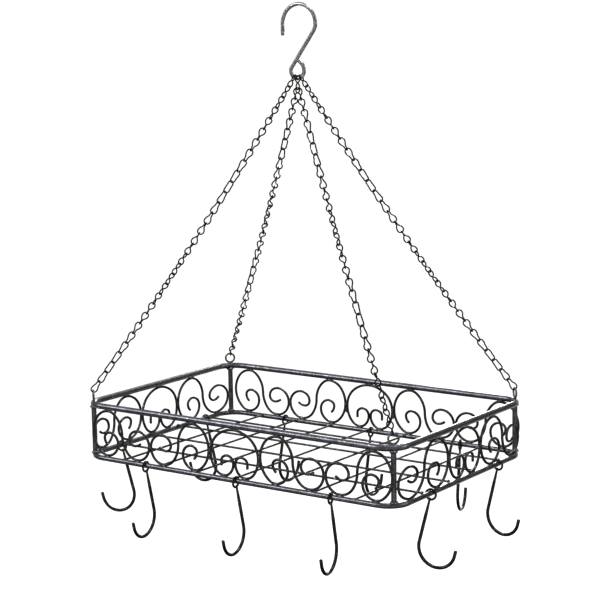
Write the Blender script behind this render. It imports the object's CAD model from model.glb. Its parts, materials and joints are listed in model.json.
import json
import math
import bmesh
import bpy
from mathutils import Matrix, Vector, noise


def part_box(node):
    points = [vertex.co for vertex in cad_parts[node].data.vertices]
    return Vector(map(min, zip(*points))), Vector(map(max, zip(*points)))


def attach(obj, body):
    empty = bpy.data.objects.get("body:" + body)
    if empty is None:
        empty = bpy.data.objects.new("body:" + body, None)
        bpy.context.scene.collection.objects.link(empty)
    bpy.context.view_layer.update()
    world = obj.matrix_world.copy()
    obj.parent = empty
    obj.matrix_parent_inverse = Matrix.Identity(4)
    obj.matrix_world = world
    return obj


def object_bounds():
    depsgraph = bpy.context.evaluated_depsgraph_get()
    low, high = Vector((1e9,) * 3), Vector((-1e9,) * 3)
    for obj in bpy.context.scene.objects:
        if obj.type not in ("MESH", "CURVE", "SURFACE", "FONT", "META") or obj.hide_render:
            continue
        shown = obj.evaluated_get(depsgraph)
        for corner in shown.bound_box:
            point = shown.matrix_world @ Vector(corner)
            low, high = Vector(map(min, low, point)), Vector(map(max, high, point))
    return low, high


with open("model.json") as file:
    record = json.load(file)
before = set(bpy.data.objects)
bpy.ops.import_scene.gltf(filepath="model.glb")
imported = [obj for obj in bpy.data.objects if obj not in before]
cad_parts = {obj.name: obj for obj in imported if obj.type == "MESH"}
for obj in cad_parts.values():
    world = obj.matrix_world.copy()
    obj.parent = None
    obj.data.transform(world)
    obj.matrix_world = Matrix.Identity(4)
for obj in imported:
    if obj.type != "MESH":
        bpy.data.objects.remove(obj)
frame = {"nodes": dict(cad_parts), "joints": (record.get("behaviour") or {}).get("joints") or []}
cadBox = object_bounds()
mm = 0.001
quarterTurn = math.pi / 2
nodes = frame["nodes"]
print("frame loaded:", len(nodes), "nodes")

# ---- camera, floor and light ----

cameraView = {
    "place": (1.60873, -2.27499, -0.01158),   # metres from the top hook's bearing point
    "turn": 35.376,                           # degrees round the upright
    "tilt": 9.159,                            # degrees down
    "roll": -0.959,
    "lens": 106.655,                          # mm, as the sensor
    "sensor": 36,
    "clip": (0.05, 100),                      # metres
}


def placeCamera(view):
    turn, tilt, roll = (math.radians(view[k]) for k in ("turn", "tilt", "roll"))
    level = math.cos(tilt)
    ahead = Vector((-math.sin(turn) * level, math.cos(turn) * level, -math.sin(tilt)))
    right = Vector((math.cos(turn), math.sin(turn), 0))
    up = right.cross(ahead)
    rolledRight = math.cos(roll) * right + math.sin(roll) * up
    rolledUp = math.cos(roll) * up - math.sin(roll) * right
    facing = Matrix((rolledRight, rolledUp, -ahead)).transposed().to_4x4()
    camera = bpy.data.objects.new("camera", bpy.data.cameras.new("camera"))
    bpy.context.scene.collection.objects.link(camera)
    camera.data.sensor_width = view["sensor"]
    camera.data.lens = view["lens"]
    camera.data.clip_start, camera.data.clip_end = view["clip"]
    camera.matrix_world = Matrix.Translation(view["place"]) @ facing
    bpy.context.scene.camera = camera


placeCamera(cameraView)


def toLinear(hexColour):
    channels = [int(hexColour[i:i + 2], 16) / 255 for i in (0, 2, 4)]
    return tuple(c / 12.92 if c <= 0.04045 else ((c + 0.055) / 1.055) ** 2.4 for c in channels) + (1.0,)


def newMaterial(name):
    material = bpy.data.materials.new(name)
    material.use_nodes = True
    material.node_tree.nodes.clear()
    return material


def addNode(material, kind, settings=None, links=None):
    node = material.node_tree.nodes.new(kind)
    for name, value in (settings or {}).items():
        if isinstance(name, int) or name in node.inputs.keys():
            node.inputs[name].default_value = value
        else:
            setattr(node, name, value)
    for name, socket in (links or {}).items():
        material.node_tree.links.new(socket, node.inputs[name])
    return node


def makeMatte(name, colour):      # no gloss at all
    material = newMaterial(name)
    shader = addNode(material, "ShaderNodeBsdfPrincipled", {
        "Base Color": toLinear(colour), "Roughness": 0.95, "Specular IOR Level": 0.1})
    addNode(material, "ShaderNodeOutputMaterial", links={"Surface": shader.outputs[0]})
    return material


studio = {
    "floorDrop": 1.3,           # metres from the lowest hook down to the floor
    "middleRadius": 2,
    "floorRadius": 9.0,
    "rimRadius": 6.0,           # the floor curves up into the backdrop, so that no horizon shows
    "rimSteps": 12,
    "turnSteps": 96,
    "floorColour": "fafaf9",
    "worldColour": "f5f5f5",
    "worldStrength": 1.0,
}


def makeFloor(s):
    low = cadBox[0].z - s["floorDrop"]
    bm = bmesh.new()
    profile = [bm.verts.new((r, 0, low)) for r in (0, s["middleRadius"], s["floorRadius"])]
    for step in range(1, s["rimSteps"] + 1):
        angle = quarterTurn * step / s["rimSteps"]
        out = s["floorRadius"] + s["rimRadius"] * math.sin(angle)
        profile.append(bm.verts.new((out, 0, low + s["rimRadius"] * (1 - math.cos(angle)))))
    edges = [bm.edges.new(pair) for pair in zip(profile, profile[1:])]
    bmesh.ops.spin(bm, geom=profile + edges, axis=(0, 0, 1), cent=(0, 0, 0), angle=2 * math.pi,
                   steps=s["turnSteps"], use_merge=True)
    bmesh.ops.remove_doubles(bm, verts=bm.verts[:], dist=1e-4)
    bmesh.ops.recalc_face_normals(bm, faces=bm.faces[:])
    mesh = bpy.data.meshes.new("studioFloor")
    bm.to_mesh(mesh)
    bm.free()
    mesh.polygons.foreach_set("use_smooth", [True] * len(mesh.polygons))
    floor = bpy.data.objects.new("studioFloor", mesh)
    bpy.context.scene.collection.objects.link(floor)
    mesh.materials.append(makeMatte("mattePaperSweep", s["floorColour"]))


makeFloor(studio)

lamps = {      # place and aim in metres, size in metres, power in watts
    "softboxLeft": {
        "place": (-1.9, -2.2, 0.9), "aim": (0, 0, -0.5), "size": (0.9, 1.3), "power": 100, "tint": "ffffff"},
    "softboxTop": {
        "place": (0.4, 0.3, 1.9), "aim": (0, 0, -0.6), "size": (1.6, 1.2), "power": 60, "tint": "ffffff"},
    "stripRight": {
        "place": (2.6, 0.9, 0.4), "aim": (0, 0, -0.4), "size": (0.4, 1.6), "power": 45, "tint": "fafcff"},
    "stripBack": {
        "place": (-1.2, 2.8, 0.5), "aim": (0, 0, -0.4), "size": (0.4, 1.6), "power": 45, "tint": "fffdfa"},
}
cards = {      # black cards that only the metal mirrors, to draw its edges; metres
    "cardLeft": {"place": (-1.4, -1.0, -0.5), "aim": (0, 0, -0.5), "size": (1.8, 2.2)},
    "cardRight": {"place": (1.4, 1.0, -0.5), "aim": (0, 0, -0.5), "size": (1.8, 2.2)},
    "cardBelow": {"place": (0, 0, -1.35), "aim": (0, 0, -0.5), "size": (1.9, 1.5)},
}


def putUp(name, data, spec, front):      # unseen by the camera, with its front axis turned to the aim
    placed = bpy.data.objects.new(name, data)
    bpy.context.scene.collection.objects.link(placed)
    placed.location = spec["place"]
    toAim = Vector(spec["aim"]) - Vector(spec["place"])
    placed.rotation_euler = toAim.to_track_quat(front, "Y").to_euler()
    placed.visible_camera = False
    return placed


def makeLamps(table):
    for name, lamp in table.items():
        light = bpy.data.lights.new(name, "AREA")
        light.shape = "RECTANGLE"
        light.size, light.size_y = lamp["size"]
        light.energy = lamp["power"]
        light.color = toLinear(lamp["tint"])[:3]
        putUp(name, light, lamp, "-Z")


def makeCards(table):
    felt = makeMatte("blackFelt", "161616")
    for name, spec in table.items():
        bm = bmesh.new()
        bmesh.ops.create_grid(bm, x_segments=4, y_segments=4, size=0.5)
        bmesh.ops.scale(bm, vec=(*spec["size"], 1), verts=bm.verts[:])
        mesh = bpy.data.meshes.new(name)
        bm.to_mesh(mesh)
        bm.free()
        mesh.materials.append(felt)
        card = putUp(name, mesh, spec, "Z")
        card.visible_diffuse = False
        card.visible_shadow = False


def makeAir(s):
    world = bpy.data.worlds.new("studioAir")
    bpy.context.scene.world = world
    world.use_nodes = True
    background = world.node_tree.nodes["Background"]
    background.inputs["Color"].default_value = toLinear(s["worldColour"])
    background.inputs["Strength"].default_value = s["worldStrength"]


makeLamps(lamps)
makeCards(cards)
makeAir(studio)

viewing = bpy.context.scene.view_settings     # a contrasty print, as of a product photograph
viewing.view_transform = "Standard"
viewing.exposure = 0.2
viewing.gamma = 0.72
print("studio ready")

# ---- materials ----

# Dark pewter finish on mild-steel rod: a metallic paint, wiped while wet so that lighter
# metal shows through in small worn flecks, over a surface left a little lumpy by forging.
# Lumps and grit are sizes and depths in mm, roughness runs from worn to unworn.
finishes = {
    "pewterRailPaint": {      # thick satin coat on the rails and posts
        "dark": "17181a", "light": "6a6c71", "worn": "a2a4a8", "wear": 0.43, "wornShows": 0.45,
        "metallic": 0.75, "roughness": (0.28, 0.40),
        "lumps": 5.5, "lumpDepth": 0.13, "grit": 0.8, "gritDepth": 0.012},
    "pewterScrollPaint": {    # thinner coat on bent wire, more of it rubbed off
        "dark": "0b0c0c", "light": "3e3f41", "worn": "a4a5a7", "wear": 0.42, "wornShows": 0.65,
        "metallic": 0.75, "roughness": (0.24, 0.36),
        "lumps": 3.6, "lumpDepth": 0.08, "grit": 0.6, "gritDepth": 0.010},
    "burnishedChainSteel": {  # darker, with bright glints where the links rub
        "dark": "040405", "light": "17181a", "worn": "a6a7a9", "wear": 0.37, "wornShows": 0.8,
        "metallic": 0.85, "roughness": (0.18, 0.32),
        "lumps": 2.4, "lumpDepth": 0.05, "grit": 0.5, "gritDepth": 0.008},
    "rubbedHookSteel": {      # wiped nearly bare on the top hook
        "dark": "1c1d1f", "light": "8e8f92", "worn": "cfd0d2", "wear": 0.47, "wornShows": 0.5,
        "metallic": 0.85, "roughness": (0.22, 0.34),
        "lumps": 5.0, "lumpDepth": 0.08, "grit": 0.6, "gritDepth": 0.008},
    "blackenedHookSteel": {   # dark and smooth on the pot hooks, with a clear highlight
        "dark": "0a0b0c", "light": "3a3b3e", "worn": "a6a7a9", "wear": 0.40, "wornShows": 0.6,
        "metallic": 0.8, "roughness": (0.18, 0.28),
        "lumps": 4.5, "lumpDepth": 0.07, "grit": 0.6, "gritDepth": 0.006},
}
# the rails' coat again, over lumpy beads
finishes["pewterWeldPaint"] = dict(finishes["pewterRailPaint"], lumps=2.0, wear=0.46)

coating = {     # what the finishes share
    "cloudSize": 3, "fleckSize": 0.55,          # times the size of the lumps
    "wornEdge": (-0.06, 0.12),                  # how softly a fleck's rim fades
    "roughEdge": (0.3, 0.7),
    "lumpStrength": 1.0, "gritStrength": 0.6,
}


def addNoise(material, place, size, detail, roughness):      # size in mm
    return addNode(material, "ShaderNodeTexNoise", {
        "Scale": 1 / (size * mm), "Detail": detail, "Roughness": roughness}, {"Vector": place})


def makeFinish(name, f):
    material = newMaterial(name)
    place = addNode(material, "ShaderNodeTexCoord").outputs["Object"]
    cloud = addNoise(material, place, f["lumps"] * coating["cloudSize"], 4, 0.55)
    fleck = addNoise(material, place, f["lumps"] * coating["fleckSize"], 5, 0.7)
    lumps = addNoise(material, place, f["lumps"], 2, 0.4)
    grit = addNoise(material, place, f["grit"], 2, 0.5)
    # a colour mix has its factor at socket 0, its colours at 6 and 7, and its result at output 2
    coat = addNode(material, "ShaderNodeMix", {
        "data_type": "RGBA", 6: toLinear(f["dark"]), 7: toLinear(f["light"])}, {0: cloud.outputs["Fac"]})
    rim = 1 - f["wear"]
    wornAt = addNode(material, "ShaderNodeMapRange", {
        "From Min": rim + coating["wornEdge"][0], "From Max": rim + coating["wornEdge"][1],
        "To Min": 0.0, "To Max": f["wornShows"]}, {"Value": fleck.outputs["Fac"]})
    colour = addNode(material, "ShaderNodeMix", {
        "data_type": "RGBA", 7: toLinear(f["worn"])}, {0: wornAt.outputs["Result"], 6: coat.outputs[2]})
    rough = addNode(material, "ShaderNodeMapRange", {
        "From Min": coating["roughEdge"][0], "From Max": coating["roughEdge"][1],
        "To Min": f["roughness"][1], "To Max": f["roughness"][0]}, {"Value": fleck.outputs["Fac"]})
    forged = addNode(material, "ShaderNodeBump", {
        "Strength": coating["lumpStrength"], "Distance": f["lumpDepth"] * mm},
        {"Height": lumps.outputs["Fac"]})
    gritty = addNode(material, "ShaderNodeBump", {
        "Strength": coating["gritStrength"], "Distance": f["gritDepth"] * mm},
        {"Height": grit.outputs["Fac"], "Normal": forged.outputs["Normal"]})
    shader = addNode(material, "ShaderNodeBsdfPrincipled", {"Metallic": f["metallic"]}, {
        "Base Color": colour.outputs[2], "Roughness": rough.outputs["Result"],
        "Normal": gritty.outputs["Normal"]})
    addNode(material, "ShaderNodeOutputMaterial", links={"Surface": shader.outputs[0]})
    return material


made = {name: makeFinish(name, f) for name, f in finishes.items()}


def finishOf(node):
    if node.startswith("chain") or node == "shared_link":
        return "burnishedChainSteel"
    if node == "top_hook":
        return "rubbedHookSteel"
    if node.startswith("pot_hook"):
        return "blackenedHookSteel"
    if node.startswith("scroll") or node.startswith("floor"):
        return "pewterScrollPaint"
    return "pewterRailPaint"


for name, node in nodes.items():
    node.data.materials.clear()
    node.data.materials.append(made[finishOf(name)])
print("finishes on:", ", ".join(made))

# ---- welds and wire ends ----

basket = {      # mm, heights from the top rail's centre line
    "length": 590, "width": 380.8, "height": 85.4, "corner": 32, "shift": -4,
    "topRail": 9.5, "bottomRail": 8,
    "wire": 4, "arch": 94.5, "sideLoop": 60, "endLoop": 68, "sideMargin": 9,
    "frontShift": 5, "backShift": 3, "nearMargin": 4.5, "farMargin": 14.5, "endShift": 5,
    "floorWire": 3.2, "crossWires": 7, "longWires": 4, "floorRise": 1.3,
}
archSpots = {   # on the middle scroll: shares of its half width, or of the height from the top; lift in mm
    "foot": 0.44, "neighbour": 0.52,
    "tip": {"across": 0.546, "down": 0.69, "lift": -7, "way": (0, 0, -1)},
}
scrollSpots = {     # on an S scroll: shares of its loop, small spiral or height; out and lift in mm
    "crown": 0.538, "foot": 0.471, "smallFoot": 0.55, "neighbour": 0.656,
    "loopTip": {"across": 0.387, "out": 5.6, "down": 0.60, "lift": -11.2, "way": (0.8, -0.6)},
    "smallTip": {"across": 0.45, "out": 12.6, "down": 0.689, "lift": 4.2, "way": (0.8, 0.6)},
}
weld = {        # half sizes in mm: along the joint, across it, and out of it
    "scrollToTop": (6.5, 2.7, 1.9), "scrollToBottom": (6.5, 2.5, 1.8), "scrollToScroll": (1.7, 2.1, 4.6),
    "post": (6.1, 6.1, 3.2), "ring": (4.2, 2.3, 1.9),
    "floorEnd": (2.7, 1.9, 2.6), "floorCrossing": (2.5, 2.5, 1.3), "eye": (2.6, 1.95, 2.7),
    "postGap": 0.6, "longWireInset": 2.9,                      # mm
    "lumpiness": 0.2, "lumpPitch": 1.9, "lumpSeed": 0.37,      # of the molten metal, on a bead of radius 1
}
potHooks = {    # mm and degrees; each hook's turn is the way that it opens
    "eyeRadius": 7.8, "eyeDrop": 1.95, "hangTurn": -1.95, "rod": 5,
    "shank": 76, "innerBend": 30, "outerBend": 27, "tip": 8,
    "down": (-0.28, -0.96),      # along the shank
    "turns": {"pot_hook_front_left": -85, "pot_hook_front_middle": -86, "pot_hook_front_right": -79,
              "pot_hook_back_left": 90, "pot_hook_back_middle": 95, "pot_hook_back_right": 107,
              "pot_hook_left_front": 197, "pot_hook_left_back": 180,
              "pot_hook_right_front": 10, "pot_hook_right_back": -5},
}
topHook = {"tip": (-31, 0, -44), "rod": 6}      # mm
wireEnd = {"fit": 0.995, "bulge": 0.5}          # of the wire's radius
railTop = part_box("top_rail")[1].z / mm - basket["topRail"] / 2     # its centre line, in mm


def finishPiece(bm, name, finish, body):
    bmesh.ops.scale(bm, vec=(mm, mm, mm), verts=bm.verts[:])
    bmesh.ops.recalc_face_normals(bm, faces=bm.faces[:])
    mesh = bpy.data.meshes.new(name)
    bm.to_mesh(mesh)
    bm.free()
    mesh.polygons.foreach_set("use_smooth", [True] * len(mesh.polygons))
    mesh.materials.append(made[finish])
    piece = bpy.data.objects.new(name, mesh)
    bpy.context.scene.collection.objects.link(piece)
    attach(piece, body)


def addBead(bm, spot, halfSizes):
    verts = bmesh.ops.create_icosphere(bm, subdivisions=3, radius=1)["verts"]
    seed = spot.to_translation() * weld["lumpSeed"]
    for vert in verts:
        vert.co *= 1 + weld["lumpiness"] * noise.noise(vert.co * weld["lumpPitch"] + seed)
    bmesh.ops.scale(bm, vec=halfSizes, verts=verts)
    bmesh.ops.transform(bm, matrix=spot, verts=verts)


def addRoundedEnd(bm, spot, way, radius):      # a filed wire end, bulging the given way
    ball = bmesh.ops.create_uvsphere(bm, u_segments=24, v_segments=16, radius=radius * wireEnd["fit"])
    verts = ball["verts"]
    bmesh.ops.scale(bm, vec=(1, 1, wireEnd["bulge"]), verts=verts)
    turn = Vector(way).to_track_quat("Z", "Y").to_matrix().to_4x4()
    bmesh.ops.transform(bm, matrix=spot @ turn, verts=verts)


def shift(x, y, z):
    return Matrix.Translation((x, y, z))


def sideSpots():      # each side as seen from outside: its middle, its scrolls, the arch's place, the loop
    b = basket
    half = b["arch"] / 2
    longS = (b["length"] - 2 * b["sideMargin"] - b["arch"]) / 4
    nearS = b["width"] / 2 - b["nearMargin"] + b["endShift"] - half
    farS = b["width"] / 2 - b["farMargin"] - b["endShift"] - half
    longRow = [(-half - 1.5 * longS, 1, longS), (-half - 0.5 * longS, -1, longS),
               (half + 0.5 * longS, 1, longS), (half + 1.5 * longS, -1, longS)]
    endRow = [(-half - nearS / 2, -1, nearS), (half + farS / 2, 1, farS)]
    base = shift(b["shift"], 0, railTop)
    front = base @ shift(b["frontShift"], -b["width"] / 2, 0)
    back = base @ shift(b["backShift"], b["width"] / 2, 0)
    right = base @ shift(b["length"] / 2, 0, 0) @ Matrix.Rotation(quarterTurn, 4, "Z")
    left = base @ shift(-b["length"] / 2, 0, 0) @ Matrix.Rotation(-quarterTurn, 4, "Z")
    return [(front, longRow, 0, b["sideLoop"]), (back, longRow, 0, b["sideLoop"]),
            (right, endRow, b["endShift"], b["endLoop"]), (left, endRow, b["endShift"], b["endLoop"])]


def weldScrolls(welds, ends):
    b = basket
    top = -(b["topRail"] + b["wire"]) / 2
    bottom = (b["bottomRail"] + b["wire"]) / 2 - b["height"]
    tall = top - bottom
    archTip, loopTip, smallTip = archSpots["tip"], scrollSpots["loopTip"], scrollSpots["smallTip"]

    def level(share):
        return top - tall * share

    def scrollTip(tip, x, hand):
        way = (hand * tip["way"][0], 0, tip["way"][1])
        return (x, level(tip["down"]) + tip["lift"], way)

    for side, row, middle, loop in sideSpots():
        contacts, joins, tips = [(middle, 0)], [], []      # a contact's second value is 1 on the lower rail
        foot = b["arch"] / 2 - b["wire"] / 2
        for s in (-1, 1):
            contacts.append((middle + s * archSpots["foot"] * foot, 1))
            tips.append((middle + s * archTip["across"] * foot,
                         level(archTip["down"]) + archTip["lift"], archTip["way"]))
            joins.append((middle + s * b["arch"] / 2, level(archSpots["neighbour"])))
        for place, hand, w in row:
            edge = -w / 2 + b["wire"] / 2
            crossing = edge + loop
            small = -edge - crossing
            at = middle + place
            contacts += [(at + hand * (edge + scrollSpots["crown"] * loop), 0),
                         (at + hand * (edge + scrollSpots["foot"] * loop), 1),
                         (at + hand * (crossing + scrollSpots["smallFoot"] * small), 1)]
            loopX = at + hand * (edge + loopTip["across"] * loop + loopTip["out"])
            smallX = at + hand * (crossing + smallTip["across"] * small + smallTip["out"])
            tips += [scrollTip(loopTip, loopX, hand), scrollTip(smallTip, smallX, hand)]
            if len(row) == 4 and abs(place) > b["arch"]:      # the outer scrolls touch the inner ones
                joins.append((at - math.copysign(w / 2, place), level(scrollSpots["neighbour"])))
        for x, low in contacts:
            z = b["bottomRail"] / 2 - b["height"] if low else -b["topRail"] / 2
            addBead(welds, side @ shift(x, 0, z), weld["scrollToBottom" if low else "scrollToTop"])
        for x, z in joins:
            addBead(welds, side @ shift(x, 0, z), weld["scrollToScroll"])
        for x, z, way in tips:
            addRoundedEnd(ends, side @ shift(x, 0, z), way, b["wire"] / 2)


def weldCorners(welds):
    b = basket
    inset = b["corner"] * (1 - math.sqrt(0.5))
    for sx in (-1, 1):
        for sy in (-1, 1):
            x = b["shift"] + sx * (b["length"] / 2 - inset)
            corner = shift(x, sy * (b["width"] / 2 - inset), railTop)
            along = Matrix.Rotation(math.atan2(sx, -sy), 4, "Z")
            addBead(welds, corner @ along @ shift(0, 0, b["topRail"] / 2), weld["ring"])
            addBead(welds, corner @ shift(0, 0, -b["topRail"] / 2 - weld["postGap"]), weld["post"])
            addBead(welds, corner @ shift(0, 0, b["bottomRail"] / 2 + weld["postGap"] - b["height"]),
                    weld["post"])


def weldFloor(welds):
    b = basket
    crossZ = b["floorRise"] - b["height"]
    longZ = crossZ + b["floorWire"]
    xs = [b["length"] * (i / (b["crossWires"] + 1) - 0.5) for i in range(1, b["crossWires"] + 1)]
    ys = [b["width"] * (i / (b["longWires"] + 1) - 0.5) for i in range(1, b["longWires"] + 1)]
    base = shift(b["shift"], 0, railTop)
    across = Matrix.Rotation(quarterTurn, 4, "Z")
    for x in xs:
        for s in (-1, 1):
            end = s * (b["width"] / 2 - b["bottomRail"] / 2)
            addBead(welds, base @ shift(x, end, crossZ), weld["floorEnd"])
        for y in ys:
            addBead(welds, base @ shift(x, y, (crossZ + longZ) / 2), weld["floorCrossing"])
    for y in ys:
        for s in (-1, 1):
            end = s * (b["length"] / 2 - weld["longWireInset"])
            addBead(welds, base @ shift(end, y, longZ) @ across, weld["floorEnd"])


def makeBasketWelds():
    welds, ends = bmesh.new(), bmesh.new()
    weldScrolls(welds, ends)
    weldCorners(welds)
    weldFloor(welds)
    finishPiece(welds, "basketWelds", "pewterWeldPaint", "basket")
    finishPiece(ends, "scrollEnds", "pewterScrollPaint", "basket")


def makeHookEnds():
    h = potHooks
    down = h["down"]
    side = (-down[1], down[0])     # square to the shank
    bends = h["innerBend"] + h["outerBend"]
    tipX = h["shank"] * down[0] + bends * side[0] - h["tip"] * down[0]
    tipZ = h["shank"] * down[1] + bends * side[1] - h["tip"] * down[1] - (h["innerBend"] - h["outerBend"])
    for joint in frame["joints"]:
        name = joint["child"]
        if name not in h["turns"]:
            continue
        rail = Vector(joint["pos_m"]) / mm
        hang = (shift(*rail) @ Matrix.Rotation(math.radians(h["turns"][name]), 4, "Z")
                @ Matrix.Rotation(math.radians(h["hangTurn"]), 4, "Y") @ shift(0, 0, -h["eyeDrop"]))
        piece = bmesh.new()
        addRoundedEnd(piece, hang @ shift(tipX, 0, tipZ), (-down[0], 0, -down[1]), h["rod"] / 2)
        addBead(piece, hang @ shift(h["eyeRadius"] * down[0], 0, h["eyeRadius"] * down[1]), weld["eye"])
        finishPiece(piece, name.replace("pot_hook", "hookEnds"), "blackenedHookSteel", name)


def makeTopHookEnd():
    piece = bmesh.new()
    addRoundedEnd(piece, shift(*topHook["tip"]), (0, 0, -1), topHook["rod"] / 2)
    finishPiece(piece, "topHookEnd", "rubbedHookSteel", "top_hook")


makeBasketWelds()
makeHookEnds()
makeTopHookEnd()
print("welds and wire ends on")
